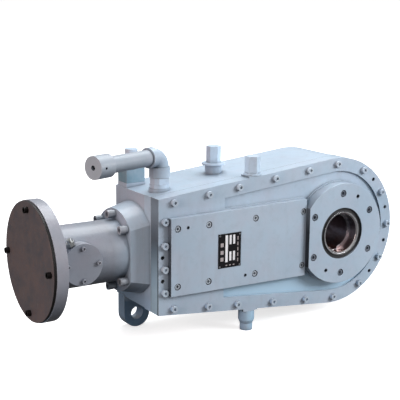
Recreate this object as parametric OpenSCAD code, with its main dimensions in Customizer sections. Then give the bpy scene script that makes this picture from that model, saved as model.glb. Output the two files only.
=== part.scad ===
// Shaft-mounted bevel and spur gearbox with a hollow output shaft.
// Frame: the origin is where the output axis (along Y) meets the input axis (along X).
// -Y is the front, with the service plate. -X is the input end. +Z is up. All sizes in mm.

/* [Case] */
// From the output axis to the flat input end
case_len = 650; // [640:1:670]
// Radius of the round output end
case_r = 237; // [234:1:244]
// Half of the height at the input end
end_half = 172; // [168:1:180]
// Thickness of the front cover
cover_t = 43; // [40:1:43]
// Case wall
wall = 16; // [12:1:18]
// Width of the face round the case's opening
face_w = 28; // [26:0.5:29]

/* [Output] */
// Radius of the bore for the driven shaft
bore_r = 55; // [50:0.5:58]
// Radius of the wider entry at each end of the bore
entry_r = 62; // [60:0.5:63]
// Radius of the bearing cap's round edge
cap_r = 161; // [156:1:166]

/* [Input] */
// Radius of the input neck tube
neck_r = 92; // [88:1:94]
// Radius of the motor flange
flange_r = 175; // [172:1:190]
// Circle of the four flange screws
flange_screw_r = 150; // [146:1:155]

/* [Breather] */
// Direction of the breather pipe from the -X axis
pipe_turn = 18; // [-10:1:45]
// Length from the elbow's corner to the pipe's end
pipe_len = 211; // [140:1:260]

/* [Hidden] */

$fn = 64;
seat = 0.02;      // gap round a pressed or centred part
run = 0.05;       // gap round a part that turns
hole_gap = 0.2;   // gap round a screw shank

// Depths along Y
front_y = -155;
joint_y = front_y + cover_t;
gasket_t = 1;
casing_front_y = joint_y + gasket_t;
back_y = 108;
back_wall_y = back_y - 18;
rim_back_y = casing_front_y + 38;
rim_step = 2;
plate_y = front_y - 18;
cap_y = front_y - 35;
pocket_y = front_y + 8;

// Slope of the top and bottom edges, which run off the round end as tangents
corner_dist = norm([case_len, end_half]);
slope = atan2(end_half, -case_len) - acos(case_r / corner_dist) - 90;

// Gears
module_mm = 5;
output_teeth = 80;
idler_teeth = 52;
pinion_teeth = 24;
wheel_teeth = 32;
bevel_teeth = 16;
output_pr = output_teeth * module_mm / 2;
idler_pr = idler_teeth * module_mm / 2;
pinion_pr = pinion_teeth * module_mm / 2;
wheel_pr = wheel_teeth * module_mm / 2;
bevel_pr = bevel_teeth * module_mm / 2;
idler_x = -(output_pr + idler_pr);
cross_x = idler_x - idler_pr - pinion_pr;
gear_y0 = -96;
gear_y1 = -46;
bevel_face = 25;
cone_len = norm([wheel_pr, bevel_pr]);

// Bearings: bore radius, outer radius, width, rollers
output_bearing = [70, 105, 33, 24];
idler_bearing = [30, 65, 31, 12];
cross_bearing = [27.5, 60, 29, 12];
input_bearing = [25, 55, 27, 12];
front_bearing_y = -150;
output_front_y = -146;
output_rear_y = 62;
idler_rear_y = 62;
cross_rear_y = 60;

// Input end, along X
end_x = -case_len;
pad_x = end_x - 20;
neck_x = pad_x - 39;
flange_back_x = -937;
flange_face_x = -971;
blank_x = flange_face_x - 2;
blank_face_x = blank_x - 6.5;
bearing_a_x = -663;
bearing_b_x = -770;
nut_x = -782;
hub_x = -895;
hub_len = 70;
branch_x = -862;
branch_y = -98;
branch_r = 60.4;

// Neck flange, which widens toward the case: radius and half width at each end
neck_front_r = 124;
neck_root_r = 139;
neck_front_w = 98;
neck_root_w = 107;

// Screws: shank radius, head radius, head height, hex across corners
M8 = [4, 6.5, 8, 6.9];
M10 = [5, 8, 10, 9.2];
M12 = [6, 9, 12, 11.5];
M12_wide = [6, 10.5, 11, 9.2];
M16 = [8, 12, 16, 16.1];

// Sunk heads: gap round the head, and how far it lies below the surface
sink_gap = 2.4;
sink = 2;

// Service plate outline
plate_x0 = -618;
plate_x1 = -132;
plate_half0 = 115;
plate_half1 = 122;

// ---------- placing and outlines ----------

// A flat outline in X and Z, made solid between two depths along Y.
module slab(y0, y1) {
    translate([0, y1, 0])
        rotate([90, 0, 0])
            linear_extrude(y1 - y0)
                children();
}

// A cylinder along Y.
module ycyl(r, y0, y1) {
    translate([0, y0, 0])
        rotate([-90, 0, 0])
            cylinder(r = r, h = y1 - y0);
}

// A cylinder along X.
module xcyl(r, x0, x1) {
    translate([x0, 0, 0])
        rotate([0, 90, 0])
            cylinder(r = r, h = x1 - x0);
}

// Height of the case's top edge at x, moved in from the edge by inset.
function edge_z(x, inset = 0) = (case_r - inset) / cos(slope) + x * tan(slope);

// The case outline, moved in by inset.
module case_outline(inset = 0) {
    r = case_r - inset;
    x0 = inset - case_len;
    tangent = [-r * sin(slope), r * cos(slope)];
    circle(r = r, $fn = 128);
    polygon([
        [x0, edge_z(x0, inset)],
        tangent,
        [tangent[0], -tangent[1]],
        [x0, -edge_z(x0, inset)],
    ]);
}

module plate_outline(grow = 0) {
    polygon([
        [plate_x0 - grow, plate_half0 + grow],
        [plate_x1 + grow, plate_half1 + grow],
        [plate_x1 + grow, -plate_half1 - grow],
        [plate_x0 - grow, -plate_half0 - grow],
    ]);
}

// Round output cap with one flat side, toward the service plate.
module cap_outline(grow = 0) {
    intersection() {
        circle(r = cap_r + grow, $fn = 128);
        translate([plate_x1 + 1 - grow, -cap_r - grow])
            square([2 * cap_r, 2 * cap_r + 2 * grow]);
    }
}

// Where the cover screws go, as [x, z].
cover_edge_x = [-600, -481, -375, -242, -113];
cover_screw_inset = 19;
cover_screw_at = concat(
    [for (x = cover_edge_x, side = [-1, 1]) [x, side * edge_z(x, cover_screw_inset)]],
    [for (a = [-90:30:90]) (case_r - cover_screw_inset) * [cos(a), sin(a)]],
    [for (z = [-105, -35, 35, 105]) [cover_screw_inset - case_len, z]]
);
dowel_at = concat(
    [for (a = [-45, 45]) (case_r - cover_screw_inset) * [cos(a), sin(a)]],
    [[cover_screw_inset - case_len - 5, -70]]
);
jack_at = concat(
    [for (a = [-15, 15]) (case_r - cover_screw_inset) * [cos(a), sin(a)]],
    [[cover_screw_inset - case_len - 5, 0]]
);
plate_screw_at = [for (x = [-596, -490, -324, -144], z = [-88, 84]) [x, z]];
plate_hole_at = [[-562, 84], [-359, -88]];
cap_pcd_r = 128.5;
cap_screw_at = [for (a = [30:60:330]) cap_pcd_r * [cos(a), sin(a)]];
cap_jack_at = [for (a = [62, 242]) cap_pcd_r * [cos(a), sin(a)]];
neck_screw_at = [for (a = [45, 90, 135, 225, 270, 315]) 109 * [cos(a), sin(a)]];

// ---------- screws and holes ----------

// A socket screw along +Z, its head's seat at z = 0 and its shank below.
module socket_screw(size, length) {
    difference() {
        union() {
            cylinder(r = size[1], h = size[2], $fn = 32);
            translate([0, 0, -length])
                cylinder(r = size[0], h = length, $fn = 24);
        }
        translate([0, 0, size[2] - size[3] / 2])
            linear_extrude(size[2])
                circle(d = size[3], $fn = 6);
    }
}

// A socket screw whose head points to the front, at [x, z].
module front_screw(at, seat_y, size, length) {
    translate([at[0], seat_y, at[1]])
        rotate([90, 0, 0])
            socket_screw(size, length);
}

// A round hole along Y at [x, z].
module front_hole(at, r, y0, y1) {
    translate([at[0], 0, at[1]])
        ycyl(r, y0, y1, $fn = 32);
}

// ---------- bearings ----------

// Each part of a bearing lies along +Z from z = 0.
function ring_t(b) = 0.28 * (b[1] - b[0]);

module tube(r_out, r_in, h) {
    difference() {
        cylinder(r = r_out, h = h);
        translate([0, 0, -1])
            cylinder(r = r_in, h = h + 2);
    }
}

module inner_ring(b) {
    tube(b[0] + ring_t(b), b[0] + seat, b[2]);
}

module outer_ring(b) {
    tube(b[1] - seat, b[1] - ring_t(b), b[2]);
}

// Rollers with their cage, in the space between the two rings.
module roller_set(b) {
    space = b[1] - b[0] - 2 * ring_t(b);
    roller_r = space / 2 - run;
    circle_r = (b[0] + b[1]) / 2;
    roller_h = b[2] * 0.62;
    low = (b[2] - roller_h) / 2;
    cage_h = b[2] * 0.84;
    for (a = [0:360 / b[3]:359])
        rotate(a)
            translate([circle_r, 0, low])
                cylinder(r = roller_r, h = roller_h, $fn = 24);
    difference() {
        translate([0, 0, (b[2] - cage_h) / 2])
            tube(circle_r + space / 5, circle_r - space / 5, cage_h);
        for (a = [0:360 / b[3]:359])
            rotate(a)
                translate([circle_r, 0, low - 0.2])
                    cylinder(r = roller_r + 0.2, h = roller_h + 0.4, $fn = 24);
    }
}

// Two equal bearings on one shaft along Y, whose +Z faces start at each y.
module pair_y(x, y_list) {
    for (y = y_list)
        translate([x, y, 0])
            rotate([-90, 0, 0])
                children();
}

module pair_x(x_list) {
    for (x = x_list)
        translate([x, 0, 0])
            rotate([0, 90, 0])
                children();
}

// ---------- gears ----------

pressure = 20;
spur_backlash = 0.3;
bevel_backlash = 0.4;
flank_steps = 5;

function involute(a) = tan(a) * 180 / PI - a;

// Half of a tooth's angle at radius r, for a gear of pitch radius pr.
function tooth_half(r, pr, teeth, backlash) =
    let (base = pr * cos(pressure))
    90 / teeth - backlash / 4 / pr * 180 / PI
    + involute(pressure) - involute(acos(min(1, base / r)));

function polar(r, a) = [r * cos(a), r * sin(a)];

// A straight-toothed gear's outline, with a tooth at angle 0.
module gear_outline(teeth, backlash) {
    pr = teeth * module_mm / 2;
    tip = pr + module_mm;
    root = pr - 1.25 * module_mm;
    low = max(root, pr * cos(pressure)) + 0.01;
    radii = [for (i = [0:flank_steps]) low + (tip - low) * i / flank_steps];
    half = [for (r = radii) tooth_half(r, pr, teeth, backlash)];
    polygon([
        for (k = [0:teeth - 1])
            let (a = k * 360 / teeth)
            each concat(
                [polar(root, a - half[0])],
                [for (i = [0:flank_steps]) polar(radii[i], a - half[i])],
                [for (i = [flank_steps:-1:0]) polar(radii[i], a + half[i])],
                [polar(root, a + half[0])]
            )
    ]);
}

// A bevel gear's teeth, cut by a plane across its axis at height h from the cone's point.
module bevel_outline(pr, teeth, h) {
    cone = asin(pr / cone_len);
    virtual_pr = pr / cos(cone);
    virtual_teeth = teeth / cos(cone);
    low = max(-1.25 * module_mm, virtual_pr * (cos(pressure) - 1)) + 0.01;
    offsets = [for (i = [0:4]) low + (module_mm - low) * i / 4];
    radii = [for (t = offsets) h * tan(cone + atan(t / cone_len))];
    half = [
        for (t = offsets)
            tooth_half(virtual_pr + t, virtual_pr, virtual_teeth, bevel_backlash) / cos(cone)
    ];
    root = h * tan(cone - atan(1.25 * module_mm / cone_len));
    polygon([
        for (k = [0:teeth - 1])
            let (a = k * 360 / teeth)
            each concat(
                [polar(root, a - half[0])],
                [for (i = [0:4]) polar(radii[i], a - half[i])],
                [for (i = [4:-1:0]) polar(radii[i], a + half[i])],
                [polar(root, a + half[0])]
            )
    ]);
}

// A bevel gear with its cone's point at the origin and its teeth at +Z, back face at z = back.
module bevel_gear(pr, teeth, back) {
    cone = asin(pr / cone_len);
    other = cone_len * cos(cone);
    short = (cone_len - bevel_face) / cone_len;
    tip = module_mm * [cos(cone), -sin(cone)];
    root = -1.25 * tip;
    heel = [pr, other];
    front = short * (other + tip[1]);
    intersection() {
        rotate_extrude($fn = 96)
            polygon([
                [0, front],
                short * (heel + tip),
                heel + tip,
                heel + root,
                [(heel + root)[0], back],
                [0, back],
            ]);
        translate([0, 0, back + 1])
            mirror([0, 0, 1])
                linear_extrude(back + 1 - front + 0.5, scale = (front - 0.5) / (back + 1))
                    bevel_outline(pr, teeth, back + 1);
    }
}

// ---------- case ----------

lug_x = -606;
lug_z = -230;
lug_r = 44;
lug_y0 = 55;
lug_y1 = 95;
lug_hole_r = 20;

top_plug_x = -313;
drain_x = -325;
cover_port_y = -133;
rear_plug_x = -366;
port_r = 16.5;
breather_x = -592;
breather_y = -60;
filler_x = -615;
filler_y = 70;
stem_r = 20;
cover_thread = 26;
neck_thread = 26;

module lug() {
    slab(lug_y0, lug_y1) {
        translate([lug_x, lug_z])
            circle(r = lug_r);
        translate([lug_x - lug_r, lug_z])
            square([2 * lug_r, edge_z(-case_len) * -1 + 6 - lug_z]);
    }
}

// A size of the neck flange at x, from its front to its root on the case.
function neck_size(x, front, root) = front + (root - front) * (x - neck_x) / (end_x - neck_x);

// Slice of the neck flange between two x: round above and below, flat at front and back.
module neck_pad(x0, x1) {
    w0 = neck_size(x0, neck_front_w, neck_root_w);
    w1 = neck_size(x1, neck_front_w, neck_root_w);
    r0 = neck_size(x0, neck_front_r, neck_root_r);
    r1 = neck_size(x1, neck_front_r, neck_root_r);
    intersection() {
        translate([x0, 0, 0])
            rotate([0, 90, 0])
                cylinder(r1 = r0, r2 = r1, h = x1 - x0, $fn = 96);
        translate([0, 0, -r1])
            linear_extrude(2 * r1)
                polygon([[x0, -w0], [x1, -w1], [x1, w1], [x0, w0]]);
    }
}

module casing() {
    color("lightsteelblue")
    difference() {
        union() {
            slab(casing_front_y, rim_back_y) case_outline();
            slab(rim_back_y - 1, back_y) case_outline(rim_step);
            neck_pad(pad_x, end_x + 8);
            lug();
            translate([breather_x, breather_y, 150])
                cylinder(r = 32, h = breather_base_z - 150);
            translate([rear_plug_x, 0, 180])
                cylinder(r = 26, h = 45);
            filler_box(150, filler_z0);
        }
        slab(casing_front_y - 1, rim_back_y + 1) case_outline(face_w);
        difference() {
            slab(rim_back_y, back_wall_y) case_outline(wall);
            bearing_boss(0, 145, 58);
            bearing_boss(idler_x, 85, 58);
            bearing_boss(cross_x, 80, 56);
        }
        front_hole([0, 0], output_bearing[1], output_rear_y - 10, back_y + 1);
        front_hole([idler_x, 0], idler_bearing[1], 50, idler_rear_y + idler_bearing[2]);
        front_hole([cross_x, 0], cross_bearing[1], 50, cross_rear_y + cross_bearing[2]);
        for (x = [idler_x, cross_x])
            front_hole([x, 0], 46, 80, back_wall_y + 8);
        xcyl(input_bearing[1], pad_x - 1, end_x + 40);
        front_hole([lug_x, lug_z], lug_hole_r, lug_y0 - 1, lug_y1 + 1);
        translate([breather_x, breather_y, 100])
            cylinder(r = stem_r, h = 100);
        translate([rear_plug_x, 0, 100])
            cylinder(r = port_r, h = 130);
        translate([filler_x, filler_y, 100])
            cylinder(r = stem_r, h = 100);
        for (at = cover_screw_at)
            front_hole(at, M12[0] + hole_gap, casing_front_y - 1, casing_front_y + cover_thread + 2);
        for (at = dowel_at)
            front_hole(at, 6 + seat, casing_front_y - 1, casing_front_y + 20);
        for (at = cap_screw_at)
            front_hole(at, M12[0] + hole_gap, back_y - 30, back_y + 1);
        for (at = neck_screw_at)
            translate([0, at[0], at[1]])
                xcyl(M16[0] + hole_gap, pad_x - 1, pad_x + neck_thread + 3, $fn = 32);
    }
}

// Inner boss that carries a rear bearing.
module bearing_boss(x, r, y0) {
    translate([x, 0, 0])
        ycyl(r, y0, back_y);
}

module front_cover() {
    port_z = edge_z(top_plug_x);
    color("lightsteelblue")
    difference() {
        union() {
            slab(front_y, joint_y) case_outline();
            port_boss(top_plug_x, port_z - 23, 26);
            port_boss(drain_x, -edge_z(drain_x) - 6, 26);
        }
        slab(front_y - 1, pocket_y)
            difference() {
                case_outline(42);
                translate([-case_len, -case_r])
                    square([case_len - 425, 2 * case_r]);
                plate_outline(3);
                cap_outline(3);
            }
        ycyl(output_bearing[1], front_y - 1, joint_y + 1);
        front_hole([idler_x, 0], idler_bearing[1], front_y - 1, joint_y + 1);
        front_hole([cross_x, 0], cross_bearing[1], front_y - 1, joint_y + 1);
        for (at = cover_screw_at)
            front_hole(at, M12[0] + hole_gap, front_y - 1, joint_y + 1);
        for (at = concat(dowel_at, jack_at))
            front_hole(at, 6 + seat, front_y - 1, joint_y + 1);
        for (at = plate_screw_at)
            front_hole(at, M10[0] + hole_gap, front_y - 1, front_y + 26);
        for (at = cap_screw_at)
            front_hole(at, M12[0] + hole_gap, front_y - 1, front_y + 26);
        oil_port(top_plug_x, 1);
        oil_port(drain_x, -1);
    }
}

// Raised seat for a plug on the cover's top or bottom edge.
module port_boss(x, z0, half_w) {
    translate([x - half_w, front_y, z0])
        cube([2 * half_w, cover_t, 26]);
}

// Plug hole from the cover's edge, turning inward to the gear space.
module oil_port(x, side) {
    z_in = edge_z(x, wall + 14);
    translate([x, cover_port_y, side > 0 ? z_in + 10 : -z_in - 60])
        cylinder(r = port_r, h = 50);
    translate([x, cover_port_y, side > 0 ? z_in - 10 : -z_in - 20])
        cylinder(r = 8, h = 30);
    front_hole([x, side * z_in], 8, cover_port_y, joint_y + 1);
}

module cover_gasket() {
    color("dimgray")
    difference() {
        slab(joint_y, casing_front_y) case_outline();
        slab(joint_y - 1, casing_front_y + 1) case_outline(face_w);
        for (at = cover_screw_at)
            front_hole(at, M12[0] + hole_gap, joint_y - 1, casing_front_y + 1);
        for (at = concat(dowel_at, jack_at))
            front_hole(at, 6 + seat, joint_y - 1, casing_front_y + 1);
    }
}

module cover_screws() {
    color("gainsboro")
    for (at = cover_screw_at)
        front_screw(at, front_y, M12_wide, cover_t + cover_thread);
}

module cover_dowels() {
    color("silver")
    for (at = dowel_at)
        front_hole(at, 6, front_y + 8, casing_front_y + 20);
}

module service_plate() {
    color("lightsteelblue")
    difference() {
        union() {
            slab(plate_y, front_y) plate_outline();
            plate_spigot(idler_x, idler_bearing);
            plate_spigot(cross_x, cross_bearing);
        }
        for (x = [idler_x, cross_x])
            front_hole([x, 0], 42, front_y - 6, front_y + 6);
        for (at = plate_screw_at) {
            front_hole(at, M10[0] + hole_gap, plate_y - 1, front_y + 1);
            front_hole(at, M10[1] + sink_gap, plate_y - 1, plate_y + M10[2] + sink);
        }
        for (at = plate_hole_at)
            front_hole(at, 5, plate_y - 1, plate_y + 14);
        for (at = rivet_at)
            front_hole(at, 1.5 + seat, plate_y - 1, plate_y + 8);
    }
}

// Ring on the plate's back that holds a bearing's outer ring in place.
module plate_spigot(x, bearing) {
    translate([x, 0, 0])
        ycyl(bearing[1] - 0.1, front_y - 1, front_bearing_y);
}

module service_plate_screws() {
    color("gainsboro")
    for (at = plate_screw_at)
        front_screw(at, plate_y + M10[2] + sink, M10, 26);
}

nameplate_x = -418;
nameplate_z = -2;
nameplate_w = 80;
nameplate_h = 104;
nameplate_t = 1.2;
rivet_at = [
    for (sx = [-1, 1], sz = [-1, 1])
        [nameplate_x + sx * (nameplate_w / 2 - 5), nameplate_z + sz * (nameplate_h / 2 - 5)]
];

module nameplate() {
    color("black")
    difference() {
        translate([nameplate_x - nameplate_w / 2, plate_y - nameplate_t, nameplate_z - nameplate_h / 2])
            cube([nameplate_w, nameplate_t, nameplate_h]);
        for (at = rivet_at)
            front_hole(at, 1.5 + seat, plate_y - 2, plate_y + 1);
    }
}

module nameplate_rivets() {
    color("silver")
    for (at = rivet_at) {
        front_hole(at, 1.5, plate_y - nameplate_t, plate_y + 7);
        front_hole(at, 2.8, plate_y - nameplate_t - 1.2, plate_y - nameplate_t);
    }
}

// ---------- output ----------

seal_r = 82.5;
shaft_end_y = cap_y + 2;
shaft_rear_y = 132;

module output_bearing_cap() {
    color("lightsteelblue")
    difference() {
        union() {
            slab(cap_y, front_y) cap_outline();
            ycyl(output_bearing[1] - seat, front_y - 1, output_front_y);
        }
        ycyl(seal_r, cap_y - 1, cap_y + 20);
        ycyl(76, cap_y, 0);
        ycyl(94, output_front_y - 5, 0);
        for (at = cap_screw_at) {
            front_hole(at, M12[0] + hole_gap, cap_y - 1, front_y + 1);
            front_hole(at, M12[1] + sink_gap, cap_y - 1, cap_y + M12[2] + sink);
        }
        for (at = cap_jack_at)
            front_hole(at, 6, cap_y - 1, front_y + 1);
    }
}

module output_rear_cap() {
    color("lightsteelblue")
    difference() {
        union() {
            ycyl(152, back_y, back_y + 16, $fn = 128);
            ycyl(output_bearing[1] - seat, output_rear_y + output_bearing[2], back_y + 1);
        }
        ycyl(76, 0, back_y + 17);
        ycyl(94, 0, output_rear_y + output_bearing[2] + 5);
        ycyl(seal_r, back_y - 4, back_y + 9);
        for (at = cap_screw_at)
            front_hole(at, M12[0] + hole_gap, back_y - 1, back_y + 17);
    }
}

module output_cap_screws() {
    color("gainsboro")
    for (at = cap_screw_at) {
        front_screw(at, cap_y + M12[2] + sink, M12, 42);
        mirror([0, 1, 0])
            front_screw(at, -back_y - 16, M12, 44);
    }
}

module output_seals() {
    color("dimgray") {
        translate([0, cap_y + 7, 0])
            rotate([-90, 0, 0])
                tube(seal_r - seat, output_bearing[0] + run, 13);
        translate([0, back_y - 4, 0])
            rotate([-90, 0, 0])
                tube(seal_r - seat, output_bearing[0] + run, 13);
    }
}

gear_seat_r = 80;
gear_lip_y = -98;
gear_stop_y = -32;
output_key = [20, 12, 56];
key_gap = 0.05;

module hollow_output_shaft() {
    steps = [
        [shaft_end_y, gear_lip_y, output_bearing[0]],
        [gear_lip_y, gear_stop_y, gear_seat_r],
        [gear_stop_y, -14, 94],
        [-14, output_rear_y, gear_seat_r],
        [output_rear_y, shaft_rear_y, output_bearing[0]],
    ];
    color("silver")
    difference() {
        for (s = steps)
            ycyl(s[2], s[0], s[1]);
        ycyl(bore_r, shaft_end_y - 1, shaft_rear_y + 1);
        ycyl(entry_r, shaft_end_y - 1, shaft_end_y + 38);
        ycyl(entry_r, shaft_rear_y - 38, shaft_rear_y + 1);
        entry_chamfer(shaft_end_y, 1);
        entry_chamfer(shaft_rear_y, -1);
        key_space(output_key, gear_seat_r, -92, key_gap);
        bore_keyway(28, 6.4);
    }
}

// Chamfer where the bore opens at y, cut toward side.
module entry_chamfer(y, side) {
    grow = 5;
    translate([0, y - side, 0])
        rotate([-side * 90, 0, 0])
            cylinder(r1 = entry_r + grow, r2 = entry_r - 1, h = grow + 1);
}

// Keyway along the whole bore, at its lowest point.
module bore_keyway(width, depth) {
    translate([-width / 2, shaft_end_y - 1, -bore_r - depth])
        cube([width, shaft_rear_y - shaft_end_y + 2, depth + 20]);
}

// A flat key on top of a shaft along Y: [width, height, length].
module key_space(key, shaft_r, y, gap = 0) {
    z0 = shaft_r - key[1] * 0.6;
    translate([-key[0] / 2 - gap, y - gap, z0 - gap])
        cube([key[0] + 2 * gap, key[2] + 2 * gap, key[1] + 2 * gap]);
}

module output_gear() {
    color("slategray")
    difference() {
        union() {
            slab(gear_y0, gear_y1) gear_outline(output_teeth, spur_backlash);
            ycyl(92, output_front_y + output_bearing[2], gear_stop_y);
        }
        ycyl(output_bearing[0] + seat, -200, 0);
        ycyl(gear_seat_r + seat, gear_lip_y, 0);
        key_space(output_key, gear_seat_r, -92, key_gap);
        for (face = [[gear_y0 - 1, gear_y0 + 13], [gear_y1 - 13, gear_y1 + 1]])
            difference() {
                ycyl(180, face[0], face[1]);
                ycyl(112, face[0] - 1, face[1] + 1);
            }
        for (a = [0:60:300])
            front_hole(polar(146, a), 24, -200, 0);
    }
}

module output_gear_key() {
    color("gray")
    key_space(output_key, gear_seat_r, -92);
}

module output_inner_rings() {
    color("silver")
    pair_y(0, [output_front_y, output_rear_y]) inner_ring(output_bearing);
}

module output_outer_rings() {
    color("silver")
    pair_y(0, [output_front_y, output_rear_y]) outer_ring(output_bearing);
}

module output_rollers() {
    color("gold")
    pair_y(0, [output_front_y, output_rear_y]) roller_set(output_bearing);
}

// ---------- idler ----------

idler_key_size = [14, 9, 50];
idler_seat_r = 42;

module idler_shaft() {
    steps = [
        [front_bearing_y, -102, idler_bearing[0]],
        [-102, -34, idler_seat_r],
        [-34, -22, 50],
        [-22, idler_rear_y, 40],
        [idler_rear_y, idler_rear_y + idler_bearing[2], idler_bearing[0]],
    ];
    color("silver")
    translate([idler_x, 0, 0])
        difference() {
            for (s = steps)
                ycyl(s[2], s[0], s[1]);
            key_space(idler_key_size, idler_seat_r, -94, key_gap);
        }
}

module idler_gear() {
    color("slategray")
    translate([idler_x, 0, 0])
        difference() {
            union() {
                slab(gear_y0, gear_y1)
                    rotate(180 / idler_teeth)
                        gear_outline(idler_teeth, spur_backlash);
                ycyl(54, front_bearing_y + idler_bearing[2], -34);
            }
            ycyl(idler_bearing[0] + seat, -200, 0);
            ycyl(idler_seat_r + seat, -102, 0);
            key_space(idler_key_size, idler_seat_r, -94, key_gap);
            for (face = [[gear_y0 - 1, gear_y0 + 12], [gear_y1 - 12, gear_y1 + 1]])
                difference() {
                    ycyl(112, face[0], face[1]);
                    ycyl(66, face[0] - 1, face[1] + 1);
                }
        }
}

module idler_key() {
    color("gray")
    translate([idler_x, 0, 0])
        key_space(idler_key_size, idler_seat_r, -94);
}

module idler_inner_rings() {
    color("silver")
    pair_y(idler_x, [front_bearing_y, idler_rear_y]) inner_ring(idler_bearing);
}

module idler_outer_rings() {
    color("silver")
    pair_y(idler_x, [front_bearing_y, idler_rear_y]) outer_ring(idler_bearing);
}

module idler_rollers() {
    color("gold")
    pair_y(idler_x, [front_bearing_y, idler_rear_y]) roller_set(idler_bearing);
}

// ---------- cross shaft with the spur pinion and the bevel wheel ----------

wheel_key_size = [12, 8, 32];
wheel_seat_r = 32;
wheel_seat_y = 18;
wheel_back = 52;

module cross_pinion_shaft() {
    steps = [
        [front_bearing_y, front_bearing_y + cross_bearing[2], cross_bearing[0]],
        [front_bearing_y + cross_bearing[2], gear_y0, 38],
        [gear_y1, wheel_seat_y, 38],
        [wheel_seat_y, cross_rear_y, wheel_seat_r],
        [cross_rear_y, cross_rear_y + cross_bearing[2], cross_bearing[0]],
    ];
    color("silver")
    translate([cross_x, 0, 0])
        difference() {
            union() {
                for (s = steps)
                    ycyl(s[2], s[0], s[1]);
                slab(gear_y0, gear_y1) gear_outline(pinion_teeth, spur_backlash);
            }
            key_space(wheel_key_size, wheel_seat_r, 24, key_gap);
        }
}

module bevel_wheel() {
    color("slategray")
    translate([cross_x, 0, 0])
        difference() {
            union() {
                rotate([-90, 0, 0])
                    bevel_gear(wheel_pr, wheel_teeth, wheel_back);
                ycyl(46, wheel_seat_y, cross_rear_y);
            }
            ycyl(wheel_seat_r + seat, 0, 100);
            key_space(wheel_key_size, wheel_seat_r, 24, key_gap);
        }
}

module bevel_wheel_key() {
    color("gray")
    translate([cross_x, 0, 0])
        key_space(wheel_key_size, wheel_seat_r, 24);
}

module cross_inner_rings() {
    color("silver")
    pair_y(cross_x, [front_bearing_y, cross_rear_y]) inner_ring(cross_bearing);
}

module cross_outer_rings() {
    color("silver")
    pair_y(cross_x, [front_bearing_y, cross_rear_y]) outer_ring(cross_bearing);
}

module cross_rollers() {
    color("gold")
    pair_y(cross_x, [front_bearing_y, cross_rear_y]) roller_set(cross_bearing);
}

// ---------- input ----------

bevel_back = 92;
hub_key_size = [12, 8, 56];
stub_r = 22;

module input_pinion_shaft() {
    shoulder_x = bearing_a_x + input_bearing[2];
    color("silver")
    difference() {
        union() {
            translate([cross_x, 0, 0])
                rotate([0, -90, 0])
                    rotate(180 / bevel_teeth)
                        bevel_gear(bevel_pr, bevel_teeth, bevel_back);
            xcyl(31, shoulder_x, cross_x - bevel_back + 2);
            xcyl(input_bearing[0], bearing_b_x, shoulder_x);
            xcyl(stub_r, hub_x, bearing_b_x);
        }
        hub_key_space(key_gap);
    }
}

// The coupling's key, on top of the shaft's free end.
module hub_key_space(gap = 0) {
    translate([hub_x + hub_key_size[2] + 6, 0, 0])
        rotate([0, 0, 90])
            key_space(hub_key_size, stub_r, 0, gap);
}

module input_spacer() {
    color("silver")
    translate([bearing_b_x + input_bearing[2], 0, 0])
        rotate([0, 90, 0])
            tube(31, input_bearing[0] + seat, bearing_a_x - bearing_b_x - input_bearing[2]);
}

module input_lock_nut() {
    color("dimgray")
    difference() {
        translate([nut_x, 0, 0])
            rotate([0, 90, 0])
                tube(33, stub_r + seat, bearing_b_x - nut_x);
        for (a = [0:90:270])
            rotate([a, 0, 0])
                translate([nut_x - 1, -3.5, 29])
                    cube([8, 7, 8]);
    }
}

module input_inner_rings() {
    color("silver")
    pair_x([bearing_a_x, bearing_b_x]) inner_ring(input_bearing);
}

module input_outer_rings() {
    color("silver")
    pair_x([bearing_a_x, bearing_b_x]) outer_ring(input_bearing);
}

module input_rollers() {
    color("gold")
    pair_x([bearing_a_x, bearing_b_x]) roller_set(input_bearing);
}

module input_seal() {
    color("dimgray")
    translate([nut_x - 14, 0, 0])
        rotate([0, 90, 0])
            tube(38 - seat, stub_r + run, 10);
}

module coupling_hub() {
    color("slategray")
    difference() {
        union() {
            xcyl(50, hub_x, hub_x + hub_len);
            for (a = [0:120:240])
                rotate([a, 0, 0])
                    intersection() {
                        translate([hub_x - 18, 0, 0])
                            rotate([0, 90, 0])
                                tube(47, 28, 19);
                        translate([hub_x - 19, -17, 0])
                            cube([21, 34, 60]);
                    }
        }
        xcyl(stub_r + seat, hub_x - 20, hub_x + hub_len + 1);
        hub_key_space(key_gap);
    }
}

module coupling_key() {
    color("gray")
    hub_key_space();
}

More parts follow.
